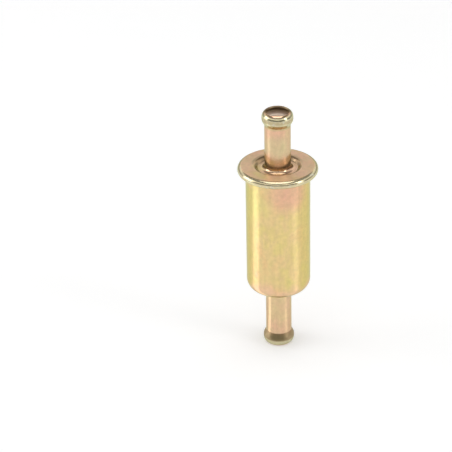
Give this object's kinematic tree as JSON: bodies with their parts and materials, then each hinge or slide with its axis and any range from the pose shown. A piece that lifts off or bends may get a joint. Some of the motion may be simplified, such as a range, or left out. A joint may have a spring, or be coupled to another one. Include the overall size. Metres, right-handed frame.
{
  "type": "in-line fuel filter",
  "caption": "Crimped metal in-line fuel filter: a cylindrical can with a rolled rim and a beaded hose neck at each end, round a spring-loaded pleated paper element.",
  "frame": {"origin": "on the filter's axis, at the mouth of the outlet neck, which it stands on", "axes": "+Z along the filter's axis from the outlet mouth to the inlet mouth; X and Y square to it, the pleat seam at +X"},
  "size_m": [0.0244, 0.0244, 0.0794],
  "materials": {
    "plated_steel": "thin drawn sheet steel, yellow zinc plated, glossy with a faint pink and green iridescence",
    "tinned_steel": "thin tinned sheet steel, satin",
    "spring_steel": "bright drawn spring wire",
    "rubber": "black fuel-resistant rubber, matt",
    "paper": "resin-treated filter paper, matt, fine fibre",
    "adhesive": "cured plastisol, slightly glossy"
  },
  "bodies": {
    "root": {"outlet_can": "plated_steel", "inlet_cover": "plated_steel", "rim_gasket": "rubber", "filter_paper": "paper", "pleat_seam_clip": "tinned_steel", "centre_tube": "tinned_steel", "closed_end_cap": "tinned_steel", "open_end_cap": "tinned_steel", "upper_potting": "adhesive", "lower_potting": "adhesive", "outlet_seal": "rubber", "preload_spring": "spring_steel"}
  },
  "joints": []
}
